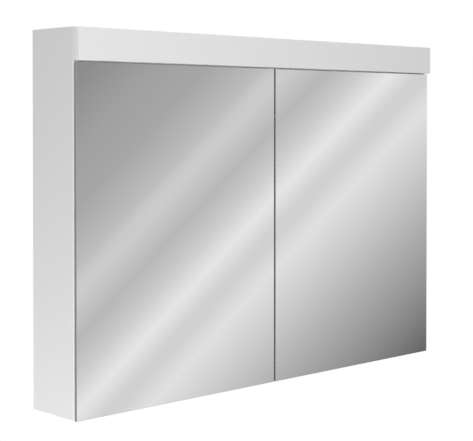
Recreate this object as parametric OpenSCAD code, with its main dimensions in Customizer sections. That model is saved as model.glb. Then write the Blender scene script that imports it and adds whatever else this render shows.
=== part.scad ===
// Two-door mirror cabinet for a bathroom wall, with a light fascia above the doors.
// Millimetres. Origin: middle of the four wall screws, on the wall. +X right, -Y into the room, +Z up.

/* [Cabinet] */
// Overall width of the cabinet
cabinet_w = 1000; // [900:10:1200]
// Height of the side boards
cabinet_h = 710; // [690:5:760]
// Depth of the body, wall to the front edges of the sides
body_d = 130; // [128:1:160]
// Thickness of the coated boards
board_t = 16; // [15:0.5:16]
// Radius on the boards' front edges
edge_r = 2.5; // [1:0.25:3]
// Distance from the cabinet's top down to the wall screws' middle
hang_drop = 150; // [146:1:152]

/* [Back panel] */
// Thickness of the back panel
back_t = 4; // [3:0.5:5]
// Depth of the space between the back panel and the wall
back_recess = 12; // [11:0.5:14]
// Depth of the grooves that hold the back panel
groove_d = 6; // [4:0.5:8]

/* [Fascia and light] */
// Height of the fascia board
fascia_h = 60; // [56:1:66]
// Thickness of the fascia board
fascia_t = 18; // [17:0.5:22]
// Step from the top of the sides down to the top of the fascia
fascia_drop = 1; // [0.5:0.5:2]
// Radius on the fascia's outer edges
fascia_r = 2.5; // [1.5:0.25:3]
// Distance from the fascia's ends to the light profile
light_margin = 50; // [30:1:90]
// Width of the light profile
light_w = 7; // [6:0.25:8]
// Depth of the light profile
light_h = 9; // [8:0.5:11]
// Wall of the light profile
light_wall = 0.8; // [0.6:0.1:1]
// Thickness of the fascia in front of the light profile
light_cover_t = 2.6; // [2:0.2:3]
// Number of light-emitting chips
chip_count = 45; // [20:1:60]
// Diameter of the low-voltage lead
lead_d = 3; // [2.5:0.25:3.5]

/* [Doors] */
// Thickness of each of a door's two mirror panes
pane_t = 3; // [3:0.25:4]
// Space between the closed doors and the body
door_gap = 2; // [2:0.1:2.5]
// Width of the gap between the two doors
centre_gap = 4; // [3:0.5:5]
// Space between the doors' tops and the fascia
top_gap = 2; // [2:0.5:4]
// Width of the ground edge on the mirror panes
arris = 0.6; // [0.3:0.1:1]
// Diameter of the clear door buffers
buffer_d = 8; // [6:0.5:10]

/* [Hinges] */
// Height of the lower hinges above the cabinet's bottom
lower_hinge_h = 92; // [80:1:110]
// Distance from the upper hinges down to the light deck
upper_hinge_drop = 96; // [90:1:110]
// Diameter of the hinge pivots
pivot_d = 2.2; // [2:0.1:2.2]
// Thickness of each hinge link
link_t = 3.5; // [3:0.25:3.5]
// Thickness of the hinge arm's cheeks
cheek_t = 2; // [1.5:0.25:2]
// Height of the plates that bond the hinges to the glass
bond_h = 52; // [40:1:60]
// Width of the plates that bond the hinges to the glass
bond_w = 44; // [40:1:50]

/* [Shelves] */
// Thickness of the glass shelves
shelf_t = 5; // [4:0.5:6]
// Depth of the glass shelves
shelf_d = 96; // [90:1:98]
// Height of the lower shelves' undersides above the cabinet's bottom
lower_shelf_h = 214; // [190:8:222]
// Height of the upper shelves' undersides above the cabinet's bottom
upper_shelf_h = 406; // [382:8:414]
// Diameter of the shelf pins
shelf_pin_d = 5; // [4:0.5:6]

/* [Socket and switch] */
// Width of the socket and switch box
power_w = 130; // [120:1:150]
// Depth of the socket and switch box
power_d = 70; // [64:1:74]
// Height of the socket and switch box
power_h = 46; // [42:1:50]
// Distance from the partition to the socket and switch box
power_offset = 52; // [40:1:80]
// Diameter of the socket's recess
socket_d = 39; // [38.5:0.25:39.5]
// Depth of the socket's recess
socket_depth = 17.5; // [17:0.25:18]
// Turn of the rocker between its two positions
rocker_turn = 12; // [8:1:14]

/* [Wall fixing] */
// Distance from the sides' inner faces to the wall brackets' screws
bracket_inset = 32; // [32:1:60]
// Distance between a bracket's two screws
screw_pitch = 32; // [30:1:40]
// Diameter of the holes for the wall screws
screw_hole_d = 5.5; // [4.5:0.5:6.5]
// Thickness of the wall brackets
bracket_t = 2.5; // [2:0.25:2.5]
// Thickness of the hangers' hooks
hook_t = 3; // [2.5:0.25:3.5]

/* [Hidden] */

// Colours
white = [0.93, 0.93, 0.92];
soft_white = [0.88, 0.89, 0.88];
mirror_grey = [0.76, 0.79, 0.80];
shelf_green = [0.72, 0.84, 0.80];
steel = [0.70, 0.71, 0.73];
silver = [0.80, 0.81, 0.83];
brass = [0.80, 0.68, 0.40];
wood = [0.80, 0.66, 0.46];
dark = [0.20, 0.20, 0.21];

// Clearances
slip = 0.1;
running = 0.05;
through = 1;

// Derived places
inner_w = cabinet_w - 2 * board_t;
side_x = inner_w / 2;
top_z = hang_drop;
bottom_z = top_z - cabinet_h;
floor_z = bottom_z + board_t;
fascia_z = top_z - fascia_drop - fascia_h;
deck_z = fascia_z - board_t;
front_y = -body_d;
back_y = -back_recess - back_t;
fascia_front_y = front_y - fascia_t;

light_l = cabinet_w - 2 * light_margin;
light_y = fascia_front_y + light_cover_t;
hinge_zs = [bottom_z + lower_hinge_h, deck_z - upper_hinge_drop];

// Setback of hinge plates and front shelf pins from the front edges
system_setback = 37;
euro_screw_r = 2.5;
euro_screw_l = 10;

// Dowels
dowel_r = 4;
dowel_l = 32;
dowel_in_board = 10;
dowel_front = 24;
dowel_back = 16;
dowel_ys = [front_y + dowel_front, back_y - dowel_back];
dowel_x = inner_w / 4;

// Doors
door_w = (cabinet_w - centre_gap) / 2;
door_h = fascia_z - top_gap - bottom_z;
inner_face_y = front_y - door_gap;

// Shelf pins and their rows of holes
shelf_side_clear = 1.5;
shelf_back_clear = 4;
pin_l = 7.5;
pin_reach = 8;
pin_back = 26;
pin_ys = [front_y + system_setback, back_y - pin_back];
shelf_pitch = 32;
shelf_rows = [for (h = [lower_shelf_h, upper_shelf_h], k = [-1:1])
    bottom_z + h - shelf_pin_d / 2 + k * shelf_pitch];

// Dowels between the fascia and the body
fascia_dowel_z = top_z - board_t / 2;
fascia_dowel_low = 14;
fascia_dowel_high = 24;
fascia_side_zs = [fascia_z + fascia_dowel_low, fascia_z + fascia_h - fascia_dowel_high];

// Light profile, its board and its driver
cap_t = 2;
board_strip_t = 1;
chip_size = [3.5, 2.8, 0.8];
diffuser_t = 1.4;
light_lead_up = 4;
light_lead_z = fascia_z + light_lead_up;
driver_size = [150, 42, 24];
driver_x = 160;
driver_setback = 40;
driver_y = front_y + driver_setback;
driver_ear = 14;
driver_ear_t = 3;
driver_screw_r = 1.5;
driver_screw_l = 12;
driver_screw_aside = 12;
driver_screw_y = driver_y + driver_screw_aside;
driver_screw_xs = [driver_x - driver_ear / 2, driver_x + driver_size.x + driver_ear / 2];
lead_bend = 12;
lead_run = 24;
lead_end_x = driver_x + driver_size.x + lead_run;

// Inlet gland and the leads through the light deck
gland_r = 8;
gland_bore_r = 4.2;
gland_flange_r = 11;
gland_flange_t = 3;
gland_nose = 8;
gland_nut_t = 4.5;
gland_aside = 30;
gland_up = 26;
gland_x = power_mid_x() - gland_aside;
gland_z = fascia_z + gland_up;
supply_r = 3;
supply_bend = 12;
supply_setback = 34;
supply_y = back_y - supply_setback;
feed_aside = 20;
feed_x = power_mid_x() + feed_aside;

function power_mid_x() = board_t / 2 + power_offset + power_w / 2;

// Socket and switch box
power_x = board_t / 2 + power_offset;
power_setback = 20;
power_front_y = front_y + power_setback;
power_z = deck_z - power_h;
socket_inset = 38;
socket_x = power_x + socket_inset;
socket_y = power_front_y + power_d / 2;
socket_rim = 3;
socket_floor_t = 6;
contact_pitch = 19;
contact_r = 2.6;
clip_w = 5;
clip_t = 0.8;
clip_y = 0.8;
clip_dip = 1.6;
clip_end = 2.4;
switch_inset = 34;
switch_x = power_x + power_w - switch_inset;
switch_z = power_z + power_h / 2;
switch_w = 22;
switch_h = 30;
switch_rim_t = 1.5;
switch_depth = 12;
rocker_w = 14;
rocker_half = 10;
rocker_slack = 0.7;
rocker_pivot_r = 1.2;
rocker_pivot_l = 2;
rocker_pivot_in = 2.5;

// Wall brackets and hangers
bracket_x = side_x - bracket_inset;
bracket_w = 50;
bracket_flat = 10;
bracket_lip_h = 20;
bracket_lip_z = screw_pitch / 2 + bracket_flat;
bracket_top_z = bracket_lip_z + bracket_lip_h;
lip_space = 4;
hook_inset = 12;
hook_x = side_x - hook_inset;
hook_bar_h = 10;
hook_slack = 0.3;
hook_drop = 12;
hook_z = bracket_top_z + hook_slack;
hook_clear = 0.8;
hook_bevel = 3;
hanger_size = [18, 60, 46];
hook_front = 14;
hook_front_y = back_y - hanger_size.y + hook_front;
hook_up = 24;
hanger_z = hook_z - hook_up;
hanger_screw_back = 12;
hanger_screw_pitch = 34;
hanger_screw_up = 10;
hanger_screw_places = [for (k = [0, 1])
    [back_y - hanger_screw_back - k * hanger_screw_pitch, hanger_z + hanger_screw_up]];
adjuster_r = 4;
adjuster_up = 12;
adjuster_zs = [hanger_z + adjuster_up, hook_z + hook_bar_h / 2];
hanger_counterbore = [4, 6];
bracket_foot = 14;
bracket_foot_z = -screw_pitch / 2 - bracket_foot;

// Hinge pivots in plan, from the outer face of the side and the front edges of the body:
// a and b turn in the arm, c and d turn in the housing that is bonded to the door.
// The links a-c and b-d are a four-bar linkage.
pivot_a = [41.4, 1.1];
pivot_b = [63.2, 20.6];
pivot_c = [19.4, 3.7];
pivot_d_place = [19.4, 10.2];
// The outer link's free end has an eye wider than its pin
eye_shift = [-0.15, 0.46];
eye_slack = 0.55;
eye_r = 2.75;
link_r = 2.6;
layer_gap = 0.3;
link_z = 0.5;
cheek_z = link_z + link_t + layer_gap;
lug_z = cheek_z + cheek_t + 0.7;
lug_t = 2;
pivot_r = pivot_d / 2;
plate_t = 2.5;
plate_screw_pitch = 32;
boss_w = 2 * cheek_z - 0.4;
arm_x = board_t + plate_t + 0.3;
arm_rise = 8.5;
arm_top_x = arm_x + arm_rise;
arm_front = 34;
arm_back = 72;
arm_knee = [38, 26];
arm_elbow = [52, 27];
arm_shoulder = 6;
arm_web = [[arm_top_x, arm_front + 2 * arm_shoulder], [arm_x, arm_front + arm_shoulder], [arm_x, arm_front],
    [24, 27], [35.5, 23.4], [55, 24.4], [58, 28], [44, 36]];
arm_screw_r = 2;
arm_screw_y = (arm_back + arm_front) / 2;
web_t = 2;
web_bends = [[arm_top_x - web_t / 2, 42], [34, 33], [54, 27.5]];
plate_wing = 9;
plate_screw_head = [3.8, 1.8];
arm_screw_head = [3.4, 2.2];
bond_t = 1.8;
bond_x = 17;
window_x = 30;

// A rectangle from the wall forwards whose two front corners are rounded
module front_rounded(w, d, r) {
    translate([0, r - d]) square([w, d - r]);
    translate([r, -d]) square([w - 2 * r, 2 * r]);
    for (x = [r, w - r]) translate([x, r - d]) circle(r, $fn = 32);
}

// A rectangle with four rounded corners, from the origin
module round_rect(w, h, r) {
    translate([r, 0]) square([w - 2 * r, h]);
    translate([0, r]) square([w, h - 2 * r]);
    for (x = [r, w - r], y = [r, h - r]) translate([x, y]) circle(r, $fn = 32);
}

// A profile drawn in Y and Z, extruded along +X
module along_x(l) {
    rotate([90, 0, 90]) linear_extrude(l) children();
}

// A cylinder along +X from the origin
module rod_x(r, l) {
    rotate([0, 90, 0]) cylinder(r = r, h = l, $fn = 32);
}

// A cylinder along +Y from the origin
module rod_y(r, l) {
    rotate([-90, 0, 0]) cylinder(r = r, h = l, $fn = 32);
}

// A bar with round ends between two points of a plane
module bar(p, q, r) {
    v = q - p;
    translate(p) {
        circle(r, $fn = 32);
        rotate(atan2(v.y, v.x)) translate([0, -r]) square([norm(v), 2 * r]);
    }
    translate(q) circle(r, $fn = 32);
}

// A quarter bend of a round lead, from +X towards +Y, starting at the origin
module bend(r, turn_r) {
    translate([0, turn_r, 0]) rotate(-90) rotate_extrude(angle = 90, $fn = 48)
        translate([turn_r, 0]) circle(r, $fn = 24);
}

// Both signs of X
module both_sides() {
    children();
    mirror([1, 0, 0]) children();
}

// A cross-slotted screw head on z = 0
module screw_head(r, h) {
    slot_w = 0.8;
    difference() {
        cylinder(r1 = r, r2 = r - 0.6, h = h, $fn = 32);
        for (a = [0, 90]) rotate(a) translate([-r * 0.55, -slot_w / 2, h - 0.8]) cube([r * 1.1, slot_w, 1]);
    }
}

// Body boards
module back_groove(z) {
    translate([-side_x - through, back_y - slip, z]) cube([inner_w + 2 * through, back_t + 2 * slip, groove_d]);
}

// The left side board; the right one is its mirror image
module side_board() {
    board_mids = [bottom_z, deck_z, top_z - board_t] + board_t / 2 * [1, 1, 1];
    difference() {
        translate([-cabinet_w / 2, 0, bottom_z]) linear_extrude(cabinet_h) front_rounded(board_t, body_d, edge_r);
        translate([-side_x - groove_d, back_y - slip, floor_z - groove_d])
            cube([groove_d + through, back_t + 2 * slip, cabinet_h - 2 * board_t + 2 * groove_d]);
        for (z = board_mids, y = dowel_ys)
            translate([-side_x - dowel_in_board, y, z]) rod_x(dowel_r + running, dowel_in_board + through);
        for (z = fascia_side_zs)
            translate([-side_x - board_t / 2, front_y - through, z])
                rod_y(dowel_r + running, dowel_l - dowel_in_board + through);
        for (z = shelf_rows, y = pin_ys)
            translate([-side_x - pin_l - running, y, z]) rod_x(shelf_pin_d / 2 + running, pin_l + through);
        for (z = hinge_zs, s = [-1, 1])
            translate([-side_x - euro_screw_l, front_y + system_setback, z + s * plate_screw_pitch / 2])
                rod_x(euro_screw_r + running, euro_screw_l + through);
        for (p = hanger_screw_places)
            translate([-side_x - euro_screw_l, p.x, p.y]) rod_x(euro_screw_r + running, euro_screw_l + through);
    }
}
module side_left() {
    color(white) side_board();
}
module side_right() {
    color(white) mirror([1, 0, 0]) side_board();
}

// A board between the sides, with dowel holes in both ends; children are cut away
module cross_board(z, rear_y) {
    difference() {
        translate([-side_x, front_y, z]) cube([inner_w, rear_y - front_y, board_t]);
        both_sides() for (y = dowel_ys)
            translate([-side_x - through, y, z + board_t / 2])
                rod_x(dowel_r + running, dowel_l - dowel_in_board + through);
        children();
    }
}
module partition_dowel_holes(z) {
    for (y = dowel_ys)
        translate([0, y, z]) cylinder(r = dowel_r + running, h = dowel_in_board + through, $fn = 32);
}
module top_panel() {
    color(white) cross_board(top_z - board_t, 0) {
        back_groove(top_z - board_t - running);
        for (x = [-dowel_x, 0, dowel_x])
            translate([x, front_y - through, fascia_dowel_z])
                rod_y(dowel_r + running, dowel_l - dowel_in_board + through);
    }
}
module bottom_panel() {
    color(white) cross_board(bottom_z, 0) {
        back_groove(floor_z - groove_d + running);
        partition_dowel_holes(floor_z - dowel_in_board);
    }
}
module light_deck() {
    color(white) cross_board(deck_z, back_y) {
        partition_dowel_holes(deck_z - through);
        for (p = [[gland_x, supply_y], [feed_x, driver_y]])
            translate([p.x, p.y, deck_z - through])
                cylinder(r = supply_r + 1, h = board_t + 2 * through, $fn = 32);
        for (x = driver_screw_xs)
            translate([x, driver_screw_y, fascia_z - 10])
                cylinder(r = driver_screw_r + running, h = 10 + through, $fn = 32);
    }
}
module partition() {
    color(white) difference() {
        translate([-board_t / 2, 0, floor_z]) linear_extrude(deck_z - floor_z) difference() {
            front_rounded(board_t, body_d, edge_r);
            translate([-through, back_y]) square([board_t + 2 * through, through - back_y]);
        }
        for (y = dowel_ys, z = [floor_z - through, deck_z - dowel_l + dowel_in_board])
            translate([0, y, z])
                cylinder(r = dowel_r + running, h = dowel_l - dowel_in_board + through, $fn = 32);
        for (z = shelf_rows, y = pin_ys)
            translate([-board_t / 2 - through, y, z]) rod_x(shelf_pin_d / 2 + running, board_t + 2 * through);
    }
}
module back_panel() {
    reach = groove_d - 2 * slip;
    color(soft_white) difference() {
        translate([-side_x - reach, back_y, floor_z - reach])
            cube([inner_w + 2 * reach, back_t, cabinet_h - 2 * board_t + 2 * reach]);
        both_sides() translate([hook_x - hook_t / 2 - 3, back_y - through, hook_z - 4])
            cube([hook_t + 6, back_t + 2 * through, hook_bar_h + 8]);
        translate([gland_x, back_y - through, gland_z]) rod_y(gland_r + slip, back_t + 2 * through);
    }
}

// Fascia: a board with rounded front, top, bottom and end edges and a slot for the light in its lower edge
module fascia() {
    color(white) difference() {
        intersection() {
            translate([-cabinet_w / 2, front_y, fascia_z]) linear_extrude(fascia_h)
                front_rounded(cabinet_w, fascia_t, fascia_r);
            translate([-cabinet_w / 2, front_y, fascia_z]) along_x(cabinet_w)
                mirror([1, -1, 0]) front_rounded(fascia_h, fascia_t, fascia_r);
        }
        translate([-light_l / 2 - cap_t - slip, light_y - slip, fascia_z - through])
            cube([light_l + 2 * cap_t + 2 * slip, light_w + 2 * slip, light_h + slip + through]);
        for (x = [-dowel_x, 0, dowel_x])
            translate([x, front_y - dowel_in_board, fascia_dowel_z])
                rod_y(dowel_r + running, dowel_in_board + through);
        for (z = fascia_side_zs) both_sides()
            translate([side_x + board_t / 2, front_y - dowel_in_board, z])
                rod_y(dowel_r + running, dowel_in_board + through);
        translate([lead_end_x, light_y + light_w - through, light_lead_z]) rod_y(lead_d / 2 + slip, fascia_t);
    }
}

module dowel() {
    chamfer = 1;
    rotate_extrude($fn = 32) polygon([[0, 0], [dowel_r - chamfer, 0], [dowel_r, chamfer],
        [dowel_r, dowel_l - chamfer], [dowel_r - chamfer, dowel_l], [0, dowel_l]]);
}
module dowels() {
    color(wood) {
        both_sides() for (z = [bottom_z, deck_z, top_z - board_t], y = dowel_ys)
            translate([side_x + dowel_in_board, y, z + board_t / 2]) rotate([0, -90, 0]) dowel();
        for (y = dowel_ys, z = [floor_z - dowel_in_board, deck_z - dowel_l + dowel_in_board])
            translate([0, y, z]) dowel();
        for (x = [-dowel_x, 0, dowel_x])
            translate([x, front_y - dowel_in_board, fascia_dowel_z]) rotate([-90, 0, 0]) dowel();
        for (z = fascia_side_zs) both_sides()
            translate([side_x + board_t / 2, front_y - dowel_in_board, z]) rotate([-90, 0, 0]) dowel();
    }
}

// Light in the fascia's lower edge
module light_profile() {
    inner = light_w - 2 * light_wall;
    color(silver) difference() {
        translate([-light_l / 2, light_y, fascia_z]) along_x(light_l) difference() {
            square([light_w, light_h]);
            translate([light_wall, -through]) square([inner, light_h - light_wall + through]);
        }
        translate([lead_end_x, light_y + light_w - light_wall - through, light_lead_z])
            rod_y(lead_d / 2 + slip, light_wall + 2 * through);
    }
}
module light_board() {
    w = light_w - 2 * light_wall - 2 * slip;
    color("ivory") translate([-light_l / 2 + 1, light_y + (light_w - w) / 2,
        fascia_z + light_h - light_wall - board_strip_t])
        cube([light_l - 2, w, board_strip_t]);
}
module light_chips() {
    pitch = light_l / chip_count;
    z = fascia_z + light_h - light_wall - board_strip_t - chip_size.z;
    color("gold") for (k = [0:chip_count - 1])
        translate([-light_l / 2 + (k + 0.5) * pitch - chip_size.x / 2, light_y + (light_w - chip_size.y) / 2, z])
            cube(chip_size);
}
module light_diffuser() {
    w = light_w - 2 * light_wall - 2 * slip;
    color(soft_white) translate([-light_l / 2, light_y + light_w / 2, fascia_z]) along_x(light_l) {
        translate([-w / 2, 0.2]) square([w, diffuser_t]);
        translate([-w / 2 + 0.4, 0]) square([w - 0.8, 0.4]);
    }
}
module light_end_caps() {
    color("gainsboro") both_sides()
        translate([light_l / 2, light_y, fascia_z]) along_x(cap_t) round_rect(light_w, light_h, 0.8);
}
module light_driver() {
    rib = 3;
    color("white") {
        translate([driver_x, driver_y - driver_size.y / 2, fascia_z]) difference() {
            along_x(driver_size.x) round_rect(driver_size.y, driver_size.z, rib);
            translate([-through, -through, -through]) cube([driver_size.x + 2 * through, rib, rib]);
        }
        for (x = driver_screw_xs) translate([x, driver_screw_y, fascia_z]) difference() {
            translate([-driver_ear / 2, -driver_ear / 2, 0]) cube([driver_ear, driver_ear, driver_ear_t]);
            translate([0, 0, -through])
                cylinder(r = driver_screw_r + running, h = driver_ear_t + 2 * through, $fn = 32);
        }
    }
}
module driver_screws() {
    color(steel) for (x = driver_screw_xs)
        translate([x, driver_screw_y, fascia_z + driver_ear_t - driver_screw_l]) {
            cylinder(r = driver_screw_r, h = driver_screw_l, $fn = 32);
            translate([0, 0, driver_screw_l]) screw_head(3.2, 2);
        }
}
// Low-voltage lead from the driver's end, forwards through the fascia into the light profile
module light_lead() {
    start = driver_x + driver_size.x;
    bend_y = driver_y - lead_bend;
    end_y = light_y + light_w - light_wall;
    color(dark) translate([0, 0, light_lead_z]) {
        translate([start, driver_y, 0]) rod_x(lead_d / 2, lead_end_x - lead_bend - start);
        translate([lead_end_x - lead_bend, driver_y, 0]) mirror([0, 1, 0]) bend(lead_d / 2, lead_bend);
        translate([lead_end_x, end_y, 0]) rod_y(lead_d / 2, bend_y - end_y);
    }
}
// Leads from the inlet gland down to the socket and switch box, and from there up to the driver
module supply_leads() {
    color(dark) {
        start_y = back_y - gland_nose;
        translate([gland_x, supply_y + supply_bend, gland_z]) rod_y(supply_r, start_y - supply_y - supply_bend);
        translate([gland_x, supply_y + supply_bend, gland_z]) rotate([0, 90, 0]) rotate(-90)
            bend(supply_r, supply_bend);
        translate([gland_x, supply_y, deck_z]) cylinder(r = supply_r, h = gland_z - supply_bend - deck_z, $fn = 32);
        feed_z = fascia_z + driver_size.z / 2;
        translate([feed_x, driver_y, deck_z]) cylinder(r = supply_r, h = feed_z - supply_bend - deck_z, $fn = 32);
        translate([feed_x, driver_y, feed_z - supply_bend]) rotate([90, 0, 0]) rotate(90)
            mirror([0, 1, 0]) bend(supply_r, supply_bend);
        translate([feed_x + supply_bend, driver_y, feed_z]) rod_x(supply_r, driver_x - feed_x - supply_bend);
    }
}
module cable_gland() {
    color("gainsboro") translate([gland_x, 0, gland_z]) difference() {
        union() {
            translate([0, back_y + back_t, 0]) rod_y(gland_flange_r, gland_flange_t);
            translate([0, back_y - gland_nose, 0]) rod_y(gland_r, gland_nose + back_t + 1);
        }
        translate([0, back_y - gland_nose - through, 0])
            rod_y(gland_bore_r, gland_nose + back_t + gland_flange_t + 2 * through);
    }
}
module gland_nut() {
    color("gainsboro") translate([gland_x, back_y, gland_z]) rotate([90, 0, 0]) difference() {
        cylinder(r = gland_flange_r + 1, h = gland_nut_t, $fn = 6);
        translate([0, 0, -through]) cylinder(r = gland_r + running, h = gland_nut_t + 2 * through, $fn = 32);
    }
}

// Socket and switch box under the light deck: the socket faces down, the switch faces forwards
module power_housing() {
    edge = 5;
    color("white") difference() {
        translate([power_x, power_front_y, power_z]) intersection() {
            linear_extrude(power_h) round_rect(power_w, power_d, edge);
            along_x(power_w) {
                translate([0, edge]) square([power_d, power_h - edge]);
                round_rect(power_d, power_h - through, edge);
            }
        }
        translate([socket_x, socket_y, power_z - through])
            cylinder(r = socket_d / 2 + socket_rim + slip, h = socket_depth + socket_floor_t + through, $fn = 64);
        translate([switch_x - switch_w / 2 + switch_rim_t - slip, power_front_y - through,
            switch_z - switch_h / 2 + switch_rim_t - slip])
            cube([switch_w - 2 * switch_rim_t + 2 * slip, switch_depth + through + slip,
                switch_h - 2 * switch_rim_t + 2 * slip]);
    }
}
module socket_insert() {
    color("whitesmoke") translate([socket_x, socket_y, power_z]) difference() {
        union() {
            cylinder(r = socket_d / 2 + socket_rim, h = socket_depth + socket_floor_t, $fn = 64);
            translate([0, 0, -1.2]) cylinder(r1 = socket_d / 2 + socket_rim, r2 = socket_d / 2 + socket_rim + 1,
                h = 1.2, $fn = 64);
        }
        translate([0, 0, -2]) cylinder(r = socket_d / 2, h = socket_depth + 2, $fn = 64);
        for (s = [-1, 1]) translate([s * contact_pitch / 2, 0, socket_depth - through])
            cylinder(r = contact_r, h = socket_floor_t, $fn = 32);
        for (s = [-1, 1]) translate([-clip_w / 2 - slip, s * (socket_d / 2 + 0.5) - 1.2, clip_end - 0.4])
            cube([clip_w + 2 * slip, 2.4, socket_depth - clip_end + 0.4]);
    }
}
module earth_clips() {
    color(brass) translate([socket_x, socket_y, power_z]) for (s = [0, 1]) mirror([0, s, 0])
        translate([-clip_w / 2, socket_d / 2, 0]) along_x(clip_w)
            polygon([[clip_y, clip_end], [clip_y, socket_depth], [clip_y - clip_t, socket_depth],
                [clip_y - clip_t, socket_depth - 4], [-clip_dip, socket_depth / 2], [clip_y - clip_t, clip_end]]);
}
module switch_frame() {
    color("gainsboro") translate([switch_x, power_front_y, switch_z]) difference() {
        union() {
            translate([-switch_w / 2, -switch_rim_t, -switch_h / 2])
                rotate([90, 0, 0]) mirror([0, 0, 1]) linear_extrude(switch_rim_t) round_rect(switch_w, switch_h, 2);
            translate([-switch_w / 2 + switch_rim_t, 0, -switch_h / 2 + switch_rim_t])
                cube([switch_w - 2 * switch_rim_t, switch_depth, switch_h - 2 * switch_rim_t]);
        }
        translate([-rocker_w / 2 - 0.3, -switch_rim_t - through, -rocker_half - rocker_slack])
            cube([rocker_w + 0.6, switch_rim_t + through + switch_depth - 2, 2 * (rocker_half + rocker_slack)]);
        translate([-rocker_w / 2 - rocker_pivot_l - 0.3, rocker_pivot_in, 0])
            rod_x(rocker_pivot_r + running, rocker_w + 2 * rocker_pivot_l + 0.6);
    }
}
// Rocker with a hollowed face, tipped to its off position
module rocker() {
    crown = 2.6;
    dip = 1.4;
    deep = 3.5;
    color("white") translate([switch_x, power_front_y + rocker_pivot_in, switch_z]) rotate([rocker_turn / 2, 0, 0]) {
        translate([-rocker_w / 2, 0, 0]) along_x(rocker_w)
            polygon([[-rocker_pivot_in - crown, rocker_half], [-rocker_pivot_in - dip, 0],
                [-rocker_pivot_in - crown, -rocker_half], [0, -rocker_half], [deep, -rocker_half / 3],
                [deep, rocker_half / 3], [0, rocker_half]]);
        translate([-rocker_w / 2 - rocker_pivot_l, 0, 0]) rod_x(rocker_pivot_r, rocker_w + 2 * rocker_pivot_l);
    }
}

// Shelves: side is -1 on the left and 1 on the right
module shelf(side, h) {
    start_x = side > 0 ? board_t / 2 : -side_x;
    w = side_x - board_t / 2 - 2 * shelf_side_clear;
    color(shelf_green, 0.6) translate([start_x + shelf_side_clear, back_y - shelf_back_clear - shelf_d, bottom_z + h])
        cube([w, shelf_d, shelf_t]);
}
module shelf_left_lower() { shelf(-1, lower_shelf_h); }
module shelf_left_upper() { shelf(-1, upper_shelf_h); }
module shelf_right_lower() { shelf(1, lower_shelf_h); }
module shelf_right_upper() { shelf(1, upper_shelf_h); }

// A shelf pin that points in +X out of its hole, with a collar and a flattened nose
module shelf_pin() {
    translate([-pin_l, 0, 0]) rod_x(shelf_pin_d / 2, pin_l + pin_reach);
    rod_x(shelf_pin_d / 2 + 1.5, 1.2);
}
module shelf_pins() {
    color(silver) for (h = [lower_shelf_h, upper_shelf_h], y = pin_ys)
        translate([0, y, bottom_z + h - shelf_pin_d / 2]) both_sides() difference() {
            union() {
                translate([-side_x, 0, 0]) shelf_pin();
                translate([-board_t / 2, 0, 0]) mirror([1, 0, 0]) shelf_pin();
            }
            translate([-side_x, -10, shelf_pin_d / 2]) cube([side_x - board_t / 2, 20, 10]);
        }
}

// Doors: two mirror panes bonded back to back; the left door is drawn, the right one is its mirror image
module chamfered(w, t, c) {
    polygon([[c, 0], [w - c, 0], [w, c], [w, t], [0, t], [0, c]]);
}
// A pane whose front edges are ground, with its back face on y = 0
module pane() {
    intersection() {
        translate([0, -pane_t, 0]) linear_extrude(door_h) chamfered(door_w, pane_t, arris);
        translate([0, -pane_t, 0]) along_x(door_w) mirror([1, -1, 0]) chamfered(door_h, pane_t, arris);
    }
}
module outer_pane() {
    color(mirror_grey) translate([-cabinet_w / 2, inner_face_y - pane_t, bottom_z]) pane();
}
module inner_pane() {
    color(mirror_grey) translate([-cabinet_w / 2, inner_face_y - pane_t, bottom_z]) mirror([0, 1, 0]) pane();
}
module buffers() {
    t = door_gap - slip;
    color("white", 0.6) for (z = [bottom_z + board_t / 2, deck_z + board_t / 2])
        translate([-buffer_d * 4, inner_face_y, z]) rotate([-90, 0, 0])
            cylinder(r1 = buffer_d / 2, r2 = buffer_d / 2 - 1, h = t, $fn = 32);
}
module door_left_mirror() { outer_pane(); }
module door_left_inner_mirror() { inner_pane(); }
module door_left_buffers() { buffers(); }
module door_right_mirror() { mirror([1, 0, 0]) outer_pane(); }
module door_right_inner_mirror() { mirror([1, 0, 0]) inner_pane(); }
module door_right_buffers() { mirror([1, 0, 0]) buffers(); }

// Hinges: each is drawn in plan from the left side's outer face and the body's front edges
module at_hinges() {
    for (z = hinge_zs) translate([-cabinet_w / 2, front_y, z]) children();
}
// The layer from z up to z + t, above or below the hinge's middle
module layer(z, t, above = true) {
    if (above) translate([0, 0, z]) linear_extrude(t) children();
    else translate([0, 0, -z - t]) linear_extrude(t) children();
}
module pivot_hole(p, r) {
    translate([p.x, p.y, -bond_h]) cylinder(r = r, h = 2 * bond_h, $fn = 32);
}
module cheek_outline() {
    bar(pivot_a, arm_knee, link_r);
    bar(pivot_b, arm_elbow, link_r);
    translate([arm_x, arm_front]) square([arm_rise, arm_back - arm_front]);
    polygon(arm_web);
}
module hinge_arm() {
    difference() {
        union() {
            layer(cheek_z, cheek_t) cheek_outline();
            layer(cheek_z, cheek_t, false) cheek_outline();
            translate([0, 0, -cheek_z]) linear_extrude(2 * cheek_z) {
                translate([arm_top_x - web_t, web_bends[0].y]) square([web_t, arm_back - web_bends[0].y]);
                for (k = [0, 1]) bar(web_bends[k], web_bends[k + 1], web_t / 2);
            }
        }
        for (p = [pivot_a, pivot_b]) pivot_hole(p, pivot_r + running);
        translate([arm_x, arm_screw_y, 0]) rod_x(arm_screw_r + running, arm_rise + through);
    }
}
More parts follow.
